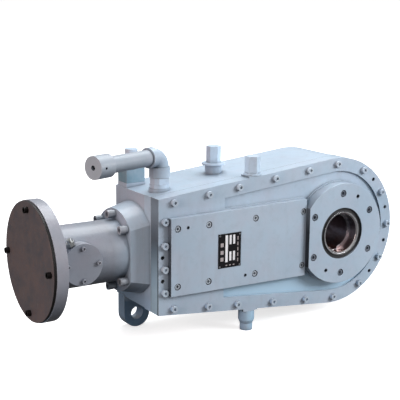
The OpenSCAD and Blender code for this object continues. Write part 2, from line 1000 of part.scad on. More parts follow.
module input_housing() {
    color("lightsteelblue")
    difference() {
        union() {
            neck_pad(neck_x, pad_x);
            xcyl(neck_r, flange_back_x - 1, neck_x + 1, $fn = 96);
            xcyl(flange_r, flange_face_x, flange_back_x, $fn = 128);
            translate([branch_x, 0, 0])
                ycyl(branch_r - 0.4, branch_y, 0);
            xcyl(input_bearing[1] - seat, pad_x - 1, bearing_a_x);
            translate([branch_x, 0, 0])
                rotate([0, grease_turn, 0])
                    translate([0, grease_y, branch_r - 6])
                        cylinder(r = 8.8, h = 7.5);
        }
        xcyl(47, bearing_b_x + input_bearing[2] - 1, bearing_a_x + 1);
        xcyl(input_bearing[1], nut_x - 1, bearing_b_x + input_bearing[2]);
        xcyl(38, nut_x - 14, bearing_b_x);
        xcyl(27, nut_x - 20, bearing_b_x);
        xcyl(72, flange_face_x - 1, nut_x - 18);
        translate([branch_x, 0, 0])
            ycyl(34, branch_y - 1, 0);
        for (a = [0:90:270])
            translate([branch_x, 0, 0])
                front_hole(polar(47, a), M8[0] + hole_gap, branch_y - 1, branch_y + 22);
        for (at = neck_screw_at)
            translate([0, at[0], at[1]])
                xcyl(M16[0] + hole_gap, neck_x - 1, pad_x + 1, $fn = 32);
        for (a = [0:90:270])
            rotate([a, 0, 0])
                translate([0, 0, flange_screw_r])
                    xcyl(M12[0] + hole_gap, flange_face_x - 1, flange_back_x + 1, $fn = 32);
        translate([branch_x, 0, 0])
            rotate([0, grease_turn, 0])
                translate([0, grease_y, branch_r - 16])
                    cylinder(r = 6 + seat, h = 30);
    }
}

sleeve_len = 10;

module neck_sleeves() {
    color("lightgray")
    for (at = neck_screw_at)
        translate([neck_x - sleeve_len, at[0], at[1]])
            rotate([0, 90, 0])
                tube(11, M16[0] + hole_gap, sleeve_len, $fn = 32);
}

module neck_screws() {
    color("gainsboro")
    for (at = neck_screw_at)
        translate([neck_x - sleeve_len, at[0], at[1]])
            rotate([0, -90, 0])
                socket_screw(M16, sleeve_len + pad_x - neck_x + neck_thread);
}

module blanking_plate() {
    color("dimgray")
    difference() {
        xcyl(flange_r - 2, blank_face_x, blank_x, $fn = 128);
        flange_screw_holes();
    }
}

module blanking_gasket() {
    color("black")
    difference() {
        xcyl(flange_r - 4, blank_x, flange_face_x, $fn = 128);
        xcyl(72, blank_x - 1, flange_face_x + 1);
        flange_screw_holes();
    }
}

module flange_screw_holes() {
    for (a = [0:90:270])
        rotate([a, 0, 0])
            translate([0, 0, flange_screw_r])
                xcyl(M12[0] + hole_gap, blank_face_x - 1, flange_face_x + 1, $fn = 32);
}

module blanking_screws() {
    color("dimgray")
    for (a = [0:90:270])
        rotate([a, 0, 0])
            translate([blank_face_x, 0, flange_screw_r])
                rotate([0, -90, 0])
                    socket_screw(M12, 38);
}

module side_cover() {
    color("lightsteelblue")
    translate([branch_x, 0, 0])
        difference() {
            ycyl(branch_r, branch_y - 8, branch_y);
            for (a = [0:90:270])
                front_hole(polar(47, a), M8[0] + hole_gap, branch_y - 9, branch_y + 1);
        }
}

module side_cover_screws() {
    color("gainsboro")
    translate([branch_x, 0, 0])
        for (a = [0:90:270])
            front_screw(polar(47, a), branch_y - 8, M8, 26);
}

grease_turn = -26;
grease_y = -89;

// Hexagon grease plug on the side of the access branch.
module grease_fitting() {
    color("gainsboro")
    translate([branch_x, 0, 0])
        rotate([0, grease_turn, 0])
            translate([0, grease_y, branch_r + 1.5]) {
                linear_extrude(12)
                    circle(d = 27, $fn = 6);
                translate([0, 0, -14])
                    cylinder(r = 6, h = 14, $fn = 32);
                translate([0, 0, 12])
                    cylinder(r = 7, h = 9, $fn = 32);
            }
}

// ---------- breather, filler and plugs ----------

elbow_z = 278;
elbow_bend = 33;
elbow_r = 27;
pipe_r = 24.15;
pipe_bore_r = 20;
cap_radius = 33;
breather_len = 56;
breather_base_z = 184;
hex_top_z = 216;
filler_z0 = 184;
filler_z1 = 250;

// Elbow frame: the pipe leaves along +X, the riser goes down.
module at_elbow() {
    translate([breather_x, breather_y, elbow_z])
        rotate(180 + pipe_turn)
            children();
}

module breather_nipple() {
    color("lightsteelblue")
    translate([breather_x, breather_y, 0])
        difference() {
            union() {
                translate([0, 0, breather_base_z])
                    cylinder(r = 29, h = 13);
                translate([0, 0, breather_base_z + 13])
                    linear_extrude(hex_top_z - breather_base_z - 13)
                        circle(d = 64, $fn = 6);
                translate([0, 0, 160])
                    cylinder(r = stem_r - seat, h = 30);
                translate([0, 0, hex_top_z - 1])
                    cylinder(r = 24 - seat, h = 24);
            }
            translate([0, 0, 150])
                cylinder(r = 15, h = 100);
        }
}

module breather_elbow() {
    collar_z = hex_top_z - elbow_z + 1;
    color("lightsteelblue")
    at_elbow()
        difference() {
            union() {
                elbow_turn(elbow_r);
                translate([0, 0, collar_z])
                    cylinder(r = 31, h = 2 - elbow_bend - collar_z);
                xcyl(30, elbow_bend - 2, elbow_bend + 18);
            }
            elbow_turn(18);
            translate([0, 0, -80])
                cylinder(r = 24, h = 80 - elbow_bend - 4);
            translate([0, 0, -elbow_bend - 5])
                cylinder(r = 20, h = 6);
            xcyl(20, elbow_bend - 1, elbow_bend + 5);
            xcyl(pipe_r, elbow_bend + 3, elbow_bend + 30);
        }
}

// A quarter bend from the riser's top to the pipe.
module elbow_turn(r) {
    translate([elbow_bend, 0, -elbow_bend])
        rotate([90, 0, 0])
            rotate(90)
                rotate_extrude(angle = 90, $fn = 64)
                    translate([elbow_bend, 0])
                        circle(r = r, $fn = 40);
}

module breather_pipe() {
    color("lightsteelblue")
    at_elbow()
        translate([elbow_bend + 3, 0, 0])
            rotate([0, 90, 0])
                tube(pipe_r - seat, pipe_bore_r, pipe_len - elbow_bend + 12);
}

module breather_cap() {
    color("lightsteelblue")
    at_elbow()
        difference() {
            xcyl(cap_radius, pipe_len, pipe_len + breather_len);
            xcyl(pipe_r, pipe_len - 1, pipe_len + 15);
            xcyl(pipe_bore_r, pipe_len, pipe_len + breather_len - 9);
            xcyl(7.5, pipe_len, pipe_len + breather_len + 1);
            translate([pipe_len + 37, 0, 0])
                rotate([-90, 0, 0])
                    cylinder(r = 4, h = cap_radius + 1);
        }
}

// The block that carries the filler knob, flush with the case's end, between two heights.
module filler_box(z0, z1) {
    translate([filler_x - 31, filler_y - 28, z0])
        cube([62, 56, z1 - z0]);
}

module filler_block() {
    color("lightsteelblue")
    difference() {
        union() {
            filler_box(filler_z0, filler_z1);
            translate([filler_x, filler_y, 160])
                cylinder(r = stem_r - seat, h = filler_z0 - 159);
        }
        translate([filler_x, filler_y, 150])
            cylinder(r = 15, h = filler_z1 - 160);
        translate([filler_x, filler_y, filler_z1 - 14])
            cylinder(r = 10 + seat, h = 20);
    }
}

module filler_knob() {
    color("lightsteelblue")
    translate([filler_x, filler_y, 0]) {
        translate([0, 0, filler_z1 - 8])
            cylinder(r = 10, h = 9);
        translate([0, 0, filler_z1])
            cylinder(r = 19, h = 34);
    }
}

// A hexagon plug with its collar on the seat at z = 0 and its stem below.
module hex_plug(collar_r, collar_h, across, height) {
    cylinder(r = collar_r, h = collar_h);
    translate([0, 0, collar_h])
        rotate(30)
            linear_extrude(height)
                circle(d = across, $fn = 6);
    translate([0, 0, -18])
        cylinder(r = port_r - seat, h = 18.5);
}

module front_plug() {
    color("lightsteelblue")
    translate([top_plug_x, cover_port_y, edge_z(top_plug_x) + 3])
        hex_plug(26, 6, 47, 51);
}

module rear_plug() {
    color("lightsteelblue")
    translate([rear_plug_x, 0, 225])
        hex_plug(37, 6, 46, 52);
}

module drain_plug() {
    color("lightsteelblue")
    translate([drain_x, cover_port_y, -edge_z(drain_x) - 6])
        mirror([0, 0, 1]) {
            cylinder(r = 25, h = 30);
            translate([0, 0, 30])
                cylinder(r1 = 25, r2 = 20, h = 12);
            translate([0, 0, 42])
                cylinder(r = 19.5, h = 22);
            translate([0, 0, -18])
                cylinder(r = port_r - seat, h = 18.5);
        }
}

casing();
front_cover();
cover_gasket();
cover_screws();
cover_dowels();
service_plate();
service_plate_screws();
nameplate();
nameplate_rivets();
output_bearing_cap();
output_rear_cap();
output_cap_screws();
output_seals();
hollow_output_shaft();
output_gear();
output_gear_key();
output_inner_rings();
output_outer_rings();
output_rollers();
idler_shaft();
idler_gear();
idler_key();
idler_inner_rings();
idler_outer_rings();
idler_rollers();
cross_pinion_shaft();
bevel_wheel();
bevel_wheel_key();
cross_inner_rings();
cross_outer_rings();
cross_rollers();
input_pinion_shaft();
input_spacer();
input_lock_nut();
input_inner_rings();
input_outer_rings();
input_rollers();
input_seal();
coupling_hub();
coupling_key();
input_housing();
neck_screws();
neck_sleeves();
blanking_plate();
blanking_gasket();
blanking_screws();
side_cover();
side_cover_screws();
grease_fitting();
breather_nipple();
breather_elbow();
breather_pipe();
breather_cap();
filler_block();
filler_knob();
front_plug();
rear_plug();
drain_plug();
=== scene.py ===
"""Looks for the industrial gearbox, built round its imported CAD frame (metres, +Z up, front to -Y)."""
import math

import bmesh
import bpy
from mathutils import Matrix, Vector


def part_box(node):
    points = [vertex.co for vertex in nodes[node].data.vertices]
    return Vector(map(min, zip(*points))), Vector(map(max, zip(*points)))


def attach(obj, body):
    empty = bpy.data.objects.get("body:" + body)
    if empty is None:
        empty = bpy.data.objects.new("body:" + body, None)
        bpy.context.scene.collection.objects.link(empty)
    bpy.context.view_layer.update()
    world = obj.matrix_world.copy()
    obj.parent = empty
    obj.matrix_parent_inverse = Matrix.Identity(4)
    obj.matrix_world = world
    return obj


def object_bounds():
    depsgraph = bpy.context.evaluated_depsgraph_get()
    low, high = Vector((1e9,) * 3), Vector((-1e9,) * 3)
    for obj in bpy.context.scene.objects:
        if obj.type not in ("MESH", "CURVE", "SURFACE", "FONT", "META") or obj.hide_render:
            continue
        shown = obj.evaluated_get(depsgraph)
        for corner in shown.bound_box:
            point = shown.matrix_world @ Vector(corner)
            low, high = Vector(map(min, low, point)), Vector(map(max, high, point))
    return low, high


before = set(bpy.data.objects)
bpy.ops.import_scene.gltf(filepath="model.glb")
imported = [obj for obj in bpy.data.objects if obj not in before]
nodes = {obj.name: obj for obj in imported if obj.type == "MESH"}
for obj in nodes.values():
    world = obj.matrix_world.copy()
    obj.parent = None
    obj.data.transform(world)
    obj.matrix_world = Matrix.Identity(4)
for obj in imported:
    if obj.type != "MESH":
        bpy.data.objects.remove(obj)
cad_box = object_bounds()


# ---------- building material node trees ----------

def add(tree, kind, inputs=None, **settings):
    """Adds a shader node. Inputs are constants or sockets, settings are the node's own fields."""
    made = tree.nodes.new("ShaderNode" + kind)
    for key, value in settings.items():
        setattr(made, key, value)
    for key, value in (inputs or {}).items():
        if isinstance(value, bpy.types.NodeSocket):
            tree.links.new(value, made.inputs[key])
        else:
            made.inputs[key].default_value = value
    return made


def mix(tree, factor, a, b, blend="MIX"):
    """One colour over another."""
    return add(tree, "Mix", {0: factor, 6: a, 7: b}, data_type="RGBA", blend_type=blend).outputs[2]


def calc(tree, operation, a, b=0.0):
    """One arithmetic step on one or two values."""
    return add(tree, "Math", {0: a, 1: b}, operation=operation).outputs[0]


def times(tree, first, *others):
    """Product of masks and amounts."""
    for other in others:
        first = calc(tree, "MULTIPLY", first, other)
    return first


def span(tree, value, low, high, out_low=0.0, out_high=1.0):
    """Maps a value from one range to another and clamps it."""
    return add(tree, "MapRange", {0: value, 1: low, 2: high, 3: out_low, 4: out_high}).outputs[0]


def noise(tree, at, scale, detail=3.0, rough=0.5, distortion=0.0):
    """Cloudy noise, with its scale in features per metre."""
    inputs = {"Vector": at, "Scale": scale, "Detail": detail, "Roughness": rough, "Distortion": distortion}
    return add(tree, "TexNoise", inputs).outputs["Fac"]


def stretched(tree, at, scale):
    """Coordinates scaled differently along each axis."""
    return add(tree, "Mapping", {"Vector": at, "Scale": scale}).outputs["Vector"]


def axes(tree, vector):
    """A vector's X, Y and Z, found by name."""
    return add(tree, "SeparateXYZ", {0: vector}).outputs


def facing(tree):
    """The direction the surface looks in, as X, Y and Z."""
    return axes(tree, add(tree, "NewGeometry").outputs["Normal"])


def bump(tree, height, distance, strength=1.0, normal=None):
    """Bump of a given depth in metres, on top of another normal if there is one."""
    inputs = {"Height": height, "Distance": distance, "Strength": strength}
    if normal is not None:
        inputs["Normal"] = normal
    return add(tree, "Bump", inputs).outputs["Normal"]


def crevice(tree, distance, low=0.35, high=0.95):
    """1 in tight corners, 0 in the open."""
    ao = add(tree, "AmbientOcclusion", {"Distance": distance}, samples=8).outputs["AO"]
    return span(tree, ao, low, high, 1.0, 0.0)


def edge_mask(tree, radius):
    """1 on outer and inner edges, 0 on flat faces."""
    rounded = add(tree, "Bevel", {"Radius": radius}, samples=6).outputs["Normal"]
    flat = add(tree, "NewGeometry").outputs["Normal"]
    dot = add(tree, "VectorMath", {0: rounded, 1: flat}, operation="DOT_PRODUCT").outputs["Value"]
    return span(tree, dot, 0.995, 0.8)


def turning_rings(tree, at):
    """The fine rings a lathe tool leaves round the Y axis."""
    inputs = {"Vector": at, "Scale": 420.0, "Distortion": 1.2, "Detail": 2.0}
    return add(tree, "TexWave", inputs, wave_type="RINGS", rings_direction="Y").outputs["Fac"]


def rgb(r, g, b):
    """A colour given in display values from 0 to 255."""
    def linear(v):
        v = v / 255
        return v / 12.92 if v <= 0.04045 else ((v + 0.055) / 1.055) ** 2.4
    return (linear(r), linear(g), linear(b), 1.0)


def start(name):
    """A new material: its tree, its shader and the object's own coordinates."""
    material = bpy.data.materials.new(name)
    material.use_nodes = True
    tree = material.node_tree
    shader = tree.nodes["Principled BSDF"]
    return material, tree, shader, add(tree, "TexCoord").outputs["Object"]


def set_shader(tree, shader, **values):
    """Sets shader inputs from constants or sockets. An underscore stands for a space in a name."""
    for key, value in values.items():
        socket = shader.inputs[key.replace("_", " ")]
        if isinstance(value, bpy.types.NodeSocket):
            tree.links.new(value, socket)
        else:
            socket.default_value = value


# ---------- places where the finish and the painted light change, and the colours they change to ---

CASE_TOP_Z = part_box("casing")[1].z
END_HALF_HEIGHT = 0.172                               # of the flat end of the case, from the middle
RIM_BACK_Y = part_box("casing")[0].y + 0.038            # the joint rim of the case is 38 mm deep
POCKET_FLOOR_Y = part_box("front_cover")[0].y + 0.008   # the pocket in the cover is 8 mm deep
PAD_FACE_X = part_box("neck_sleeves")[1].x              # the sleeves stand on the neck's pad
BORE_ENTRY_RADIUS = 0.062

# How far corner grime and painted shade reach, and the depth of the surface marks
STEP_REACH = 0.02
CORNER_REACH = 0.005
METAL_CORNER_REACH = 0.006
EDGE_WEAR_AND_HIGHLIGHT_WIDTH = 0.0016
CAST_SKIN_DEPTH = 0.0011
ORANGE_PEEL_DEPTH = 0.00022
TOOL_MARK_DEPTH = 0.00012
TURNING_DEPTH = 0.00015

CLOUD_BLOOM = rgb(186, 186, 200)
HAZE = rgb(150, 170, 182)
RUN_MARKS = rgb(130, 134, 136)
NECK_TINT = rgb(214, 196, 192)
WARM_REFLECTION_ON_WALL = rgb(246, 232, 230)
BLUE_REFLECTION_LOW_ON_END = rgb(166, 200, 232)
LUG_SHADE = rgb(160, 188, 210)
UNDERSIDE_SHADE = rgb(136, 141, 148)
POCKET_BLUE_BOUNCE = rgb(184, 218, 240)
STEP_SHADE = rgb(72, 86, 100)
CORNER_DIRT = rgb(84, 96, 108)
HOLE_SHADE = rgb(26, 30, 36)
WORN_EDGE_AND_HIGHLIGHT = rgb(222, 232, 240)
OLD_OIL = rgb(38, 32, 28)


# ---------- materials ----------

def enamel(tree, at, cloud, light, dark):
    """Sprayed colour: a slow drift from light to dark, cloudy bloom, haze and faint vertical run marks."""
    tone = noise(tree, at, 3.2, 2.0)
    haze = noise(tree, at, 55.0, 4.0, 0.6)
    runs = noise(tree, stretched(tree, at, (26.0, 26.0, 3.0)), 1.0, 4.0, 0.6)
    colour = mix(tree, span(tree, tone, 0.35, 0.68), light, dark)
    colour = mix(tree, span(tree, cloud, 0.4, 0.75, 0.0, 0.4), colour, CLOUD_BLOOM)
    colour = mix(tree, span(tree, haze, 0.5, 0.75, 0.0, 0.25), colour, HAZE)
    return mix(tree, span(tree, runs, 0.55, 0.8, 0.0, 0.16), colour, RUN_MARKS)


def tint_and_shade_by_place(tree, at, colour, side_shade):
    """Warmer and darker on the neck. The rest is painted light: a warm painted reflection on faces behind
    the joint rim that look toward the input end, a painted blue reflection low on those faces, painted
    shade on the lug's front below the case and on faces that look down. A side colour, if given, is painted
    shade on a cover's thin faces that look toward the input end, lighter towards the top, and the pocket
    floor low down gets a painted blue bounce."""
    place, look = axes(tree, at), facing(tree)
    toward_input = span(tree, look["X"], -0.5, -0.9)
    toward_front = span(tree, look["Y"], -0.5, -0.9)

    neck = span(tree, place["X"], PAD_FACE_X - 0.003, PAD_FACE_X - 0.051)
    under_pipe = span(tree, place["Z"], CASE_TOP_Z + 0.003, CASE_TOP_Z - 0.037)
    colour = mix(tree, times(tree, neck, under_pipe, 0.85), colour, NECK_TINT, "MULTIPLY")

    # painted light: a warm painted reflection on faces behind the joint rim that look toward the input end
    behind_rim = span(tree, place["Y"], RIM_BACK_Y - 0.001, RIM_BACK_Y + 0.0005)
    colour = mix(tree, times(tree, toward_input, behind_rim, 0.8), colour, WARM_REFLECTION_ON_WALL, "MULTIPLY")

    # painted light: a blue painted reflection low down on faces that look toward the input end
    foot = span(tree, place["Z"], -END_HALF_HEIGHT + 0.092, -END_HALF_HEIGHT + 0.022, 0.0, 0.8)
    colour = mix(tree, times(tree, toward_input, foot), colour, BLUE_REFLECTION_LOW_ON_END)

    # painted shade on the front faces of the lug below the case
    under_case = span(tree, place["Z"], -END_HALF_HEIGHT, -END_HALF_HEIGHT - 0.018)
    lug = times(tree, under_case, toward_front, span(tree, place["Y"], 0.02, 0.05))
    colour = mix(tree, lug, colour, LUG_SHADE, "MULTIPLY")

    # painted shade on faces that look down
    underside = span(tree, look["Z"], -0.1, -0.85, 0.0, 0.9)
    colour = mix(tree, underside, colour, UNDERSIDE_SHADE, "MULTIPLY")
    # painted shade on a cover's thin faces that look toward the input end, lighter towards the top
    if side_shade:
        upper = span(tree, place["Z"], 0.02, 0.14, 1.0, 0.65)
        colour = mix(tree, times(tree, toward_input, upper), colour, side_shade)
        # painted light: a blue painted bounce on the pocket floor, low down
        pocket = span(tree, place["Y"], POCKET_FLOOR_Y - 0.003, POCKET_FLOOR_Y - 0.001)
        low_down = span(tree, place["Z"], 0.05, -0.1)
        colour = mix(tree, times(tree, pocket, low_down, 0.8), colour, POCKET_BLUE_BOUNCE)
    return colour


def paint(name, light, dark, cast=1.0, gloss=0.34, holes=1.0, hole_size=0.02, dirt_and_shade=1.0, side_shade=None):
    """Sprayed machine enamel over a cast skin: orange peel, grime in corners, painted shade beside steps
    and in holes, chips of rubbed-off paint on edges and a painted highlight along every outer edge. Cast
    scales the skin's depth, holes scales the painted shade in holes, the grime-and-shade amount scales the
    corner grime and the painted shade beside steps, gloss is the lowest roughness, and hole_size is how far
    round it a point looks to tell that it is in a hole."""
    material, tree, shader, at = start(name)
    cloud = noise(tree, at, 16.0, 5.0, 0.6)
    colour = enamel(tree, at, cloud, light, dark)
    colour = tint_and_shade_by_place(tree, at, colour, side_shade)

    step = crevice(tree, STEP_REACH, 0.5, 0.85)
    corner = crevice(tree, CORNER_REACH)
    hole = crevice(tree, hole_size, 0.1, 0.3)
    grime = times(tree, corner, span(tree, cloud, 0.2, 0.7, 0.35 * dirt_and_shade, 0.8 * dirt_and_shade))
    # painted shade beside steps
    colour = mix(tree, times(tree, step, 0.4 * dirt_and_shade), colour, STEP_SHADE)
    colour = mix(tree, times(tree, grime, 0.7), colour, CORNER_DIRT)
    # painted shade inside holes and sockets
    colour = mix(tree, times(tree, hole, 0.9 * holes), colour, HOLE_SHADE)

    # paint rubbed off in chips on outer edges, and a painted highlight along every outer edge
    chips = span(tree, noise(tree, at, 210.0, 3.0, 0.7), 0.42, 0.6, 0.25, 1.0)
    outer = calc(tree, "SUBTRACT", 1.0, corner)
    worn_and_highlit = times(tree, edge_mask(tree, EDGE_WEAR_AND_HIGHLIGHT_WIDTH), chips, outer)
    colour = mix(tree, times(tree, worn_and_highlit, 0.6), colour, WORN_EDGE_AND_HIGHLIGHT)

    cast_skin = noise(tree, at, 95.0, 5.0, 0.62)
    orange_peel = noise(tree, at, 620.0, 2.0, 0.5)
    normal = bump(tree, cast_skin, CAST_SKIN_DEPTH * cast, 0.55)
    normal = bump(tree, orange_peel, ORANGE_PEEL_DEPTH, 0.5, normal)
    rough = span(tree, cloud, 0.3, 0.75, gloss, gloss + 0.14)
    rough = calc(tree, "ADD", rough, times(tree, grime, 0.25))
    set_shader(tree, shader, Base_Color=colour, Roughness=rough, Normal=normal,
               Coat_Weight=0.3, Coat_Roughness=0.18)
    return material


def metal(name, light, dark, rough=0.3, grain=(40.0, 900.0, 40.0)):
    """Machined metal with fine tool marks along one axis."""
    material, tree, shader, at = start(name)
    cloud = noise(tree, at, 22.0, 5.0, 0.62)
    marks = noise(tree, stretched(tree, at, grain), 1.0, 3.0, 0.6)
    colour = mix(tree, span(tree, cloud, 0.3, 0.7), light, dark)
    colour = mix(tree, span(tree, marks, 0.4, 0.7, 0.0, 0.25), colour, dark)
    corner = crevice(tree, METAL_CORNER_REACH)
    colour = mix(tree, times(tree, corner, 0.6), colour, OLD_OIL)
    level = span(tree, cloud, 0.3, 0.75, rough, rough + 0.2)
    normal = bump(tree, marks, TOOL_MARK_DEPTH, 0.35)
    set_shader(tree, shader, Base_Color=colour, Metallic=1.0, Roughness=level, Normal=normal)
    return material


def mill_scale(name):
    """Hot-rolled plate: blue-brown scale, mottled, with rust freckles, black round its edge."""
    material, tree, shader, at = start(name)
    broad = noise(tree, at, 7.0, 4.0, 0.55, 0.6)
    mottle = noise(tree, at, 38.0, 6.0, 0.65)
    freckle = noise(tree, at, 260.0, 2.0, 0.5)
    scratch = noise(tree, stretched(tree, at, (10.0, 900.0, 14.0)), 1.0, 3.0, 0.7)
    colour = mix(tree, span(tree, broad, 0.36, 0.64), rgb(108, 99, 102), rgb(90, 91, 98))
    colour = mix(tree, span(tree, mottle, 0.42, 0.72, 0.0, 0.7), colour, rgb(116, 104, 101))
    colour = mix(tree, span(tree, freckle, 0.66, 0.74, 0.0, 0.7), colour, rgb(150, 100, 70))
    colour = mix(tree, span(tree, scratch, 0.64, 0.72, 0.0, 0.35), colour, rgb(176, 172, 174))
    rim = span(tree, facing(tree)["X"], -0.9, -0.6)
    colour = mix(tree, rim, colour, rgb(24, 22, 22))
    rough = span(tree, mottle, 0.3, 0.8, 0.42, 0.66)
    normal = bump(tree, mottle, 0.0006, 0.5)
    normal = bump(tree, freckle, 0.00025, 0.5, normal)
    set_shader(tree, shader, Base_Color=colour, Metallic=0.35, Roughness=rough, Normal=normal)
    return material


def matt_sheet(name, colour, dust, shine=0.5):
    """Rubber, gasket sheet or matt label enamel, with dust in soft patches."""
    material, tree, shader, at = start(name)
    grain = noise(tree, at, 420.0, 3.0, 0.6)
    cloud = noise(tree, at, 30.0, 4.0, 0.6)
    dusty = mix(tree, span(tree, cloud, 0.4, 0.75, 0.0, 0.5), colour, dust)
    rough = span(tree, cloud, 0.2, 0.8, 0.45, 0.7)
    normal = bump(tree, grain, 0.0002, 0.5)
    set_shader(tree, shader, Base_Color=dusty, Roughness=rough, Specular_IOR_Level=shine, Normal=normal)
    return material


def shaft_steel(name):
    """The hollow shaft: turned ends, and a bore with an oily film, painted shade darkening it towards its
    top, and a little rust low down.
    """
    material, tree, shader, at = start(name)
    place = axes(tree, at)
    x, z = place["X"], place["Z"]
    radius = calc(tree, "SQRT", calc(tree, "ADD", times(tree, x, x), times(tree, z, z)))
    in_bore = span(tree, radius, BORE_ENTRY_RADIUS + 0.0012, BORE_ENTRY_RADIUS + 0.0004)
    inside = times(tree, in_bore, span(tree, facing(tree)["Y"], -0.8, -0.3))
    cloud = noise(tree, stretched(tree, at, (24.0, 9.0, 24.0)), 1.0, 4.0, 0.55)
    patch = noise(tree, at, 14.0, 3.0, 0.5)
    steel = mix(tree, span(tree, cloud, 0.3, 0.7), rgb(232, 232, 234), rgb(186, 184, 186))
    oily_film_and_shade = mix(tree, span(tree, cloud, 0.42, 0.6), rgb(214, 216, 228), rgb(120, 120, 134))
    # painted shade: the bore darkens towards its top
    oily_film_and_shade = mix(tree, span(tree, z, -0.01, 0.045, 0.0, 0.8), oily_film_and_shade, rgb(44, 44, 52))
    rust = times(tree, span(tree, z, 0.0, -0.05), span(tree, patch, 0.3, 0.7, 0.4, 1.0))
    oily_film_and_shade = mix(tree, rust, oily_film_and_shade, rgb(164, 104, 76))
    colour = mix(tree, inside, steel, oily_film_and_shade)
    rough = mix(tree, inside, (0.16, 0.16, 0.16, 1), span(tree, cloud, 0.3, 0.7, 0.24, 0.4))
    normal = bump(tree, turning_rings(tree, at), TURNING_DEPTH, 0.3)
    set_shader(tree, shader, Base_Color=colour, Metallic=0.95, Roughness=rough, Normal=normal)
    return material


SKY_PAINT = (rgb(184, 202, 218), rgb(170, 189, 206))
MATERIALS = {
    "paint": paint("blue_grey_enamel", *SKY_PAINT),
    "fine_paint": paint("blue_grey_enamel_machined", *SKY_PAINT, cast=0.35, gloss=0.32),
    # the side colours of the covers and the cap are painted shade on their thin faces that look toward the
    # input end
    "cover_paint": paint("blue_grey_enamel_covers", *SKY_PAINT, cast=0.35, gloss=0.32, dirt_and_shade=0.6,
                         side_shade=rgb(60, 68, 78)),
    "cap_paint": paint("blue_grey_enamel_cap", *SKY_PAINT, cast=0.35, gloss=0.32, dirt_and_shade=0.6,
                       side_shade=rgb(16, 20, 28)),
    # painted shade: the filler block's darker blue-green paint stands for the breather pipe's shadow on it
    "shaded_block_paint": paint("blue_green_enamel_painted_shade", rgb(124, 160, 176), rgb(110, 146, 162)),
    "pipe_paint": paint("grey_pipe_enamel", rgb(170, 180, 190), rgb(154, 164, 174), cast=0.5,
                        gloss=0.5, dirt_and_shade=1.5),
    "pale_paint": paint("pale_grey_enamel", rgb(206, 226, 244), rgb(190, 210, 228), cast=0.35),
    "drain_paint": paint("blue_drain_enamel", rgb(190, 226, 250), rgb(158, 194, 220), cast=0.35,
                         gloss=0.26),
    "screw_paint": paint("painted_screw_heads", rgb(194, 210, 222), rgb(176, 192, 208), cast=0.1,
                         gloss=0.28, holes=0.2, dirt_and_shade=0.4),
    "socket_paint": paint("painted_neck_screws", rgb(190, 200, 208), rgb(164, 176, 186), cast=0.1,
                          gloss=0.28, hole_size=0.012),
    "cap_screws": paint("painted_cap_screws", rgb(96, 108, 122), rgb(70, 80, 94), cast=0.1, gloss=0.3),
    "steel": metal("ground_steel", rgb(196, 196, 198), rgb(150, 150, 152), 0.22),
    "gear_steel": metal("hobbed_gear_steel", rgb(150, 150, 154), rgb(104, 102, 104), 0.3,
                        (60.0, 700.0, 60.0)),
    "dark_steel": metal("black_oxide_steel", rgb(66, 62, 62), rgb(40, 38, 38), 0.36),
    "bright_zinc": metal("bright_zinc", rgb(230, 232, 232), rgb(190, 192, 190), 0.2),
    "brass_cage": metal("cast_brass_cage", rgb(206, 170, 96), rgb(160, 120, 60), 0.3),
    "shaft": shaft_steel("hollow_shaft_steel"),
    "mill_scale": mill_scale("mill_scale_plate"),
    "nitrile": matt_sheet("black_nitrile", rgb(34, 34, 36), rgb(64, 62, 60)),
    "gasket": matt_sheet("gasket_sheet", rgb(50, 56, 60), rgb(84, 88, 88)),
    "label": matt_sheet("black_label_enamel", rgb(12, 10, 14), rgb(26, 24, 30), 0.2),
    "label_dim": matt_sheet("label_dim_fields", rgb(190, 180, 180), rgb(150, 142, 144)),
    "label_silver": matt_sheet("label_silver_fields", rgb(250, 250, 252), rgb(226, 228, 232)),
}

FINISH = {
    "paint": "casing output_rear_cap input_housing breather_elbow",
    "fine_paint": "side_cover",
    "cover_paint": "front_cover service_plate",
    "cap_paint": "output_bearing_cap",
    "shaded_block_paint": "filler_block",
    "pipe_paint": "breather_pipe breather_cap",
    "pale_paint": "breather_nipple front_plug rear_plug filler_knob",
    "drain_paint": "drain_plug",
    "screw_paint": "cover_screws side_cover_screws",
    "socket_paint": "service_plate_screws neck_screws neck_sleeves",
    "cap_screws": "output_cap_screws",
    "steel": """cover_dowels nameplate_rivets idler_shaft cross_pinion_shaft input_pinion_shaft input_spacer
        output_inner_rings output_outer_rings idler_inner_rings idler_outer_rings cross_inner_rings
        cross_outer_rings input_inner_rings input_outer_rings""",
    "gear_steel": "output_gear idler_gear bevel_wheel coupling_hub",
    "dark_steel": "blanking_screws input_lock_nut output_gear_key idler_key bevel_wheel_key coupling_key",
    "bright_zinc": "grease_fitting",
    "brass_cage": "output_rollers idler_rollers cross_rollers input_rollers",
    "shaft": "hollow_output_shaft",
    "mill_scale": "blanking_plate",
    "nitrile": "output_seals input_seal",
    "gasket": "cover_gasket blanking_gasket",
    "label": "nameplate",
}
for finish, names in FINISH.items():
    for name in names.split():
        mesh = nodes[name].data
        mesh.materials.clear()
        mesh.materials.append(MATERIALS[finish])


# ---------- rounded edges on the CAD nodes ----------

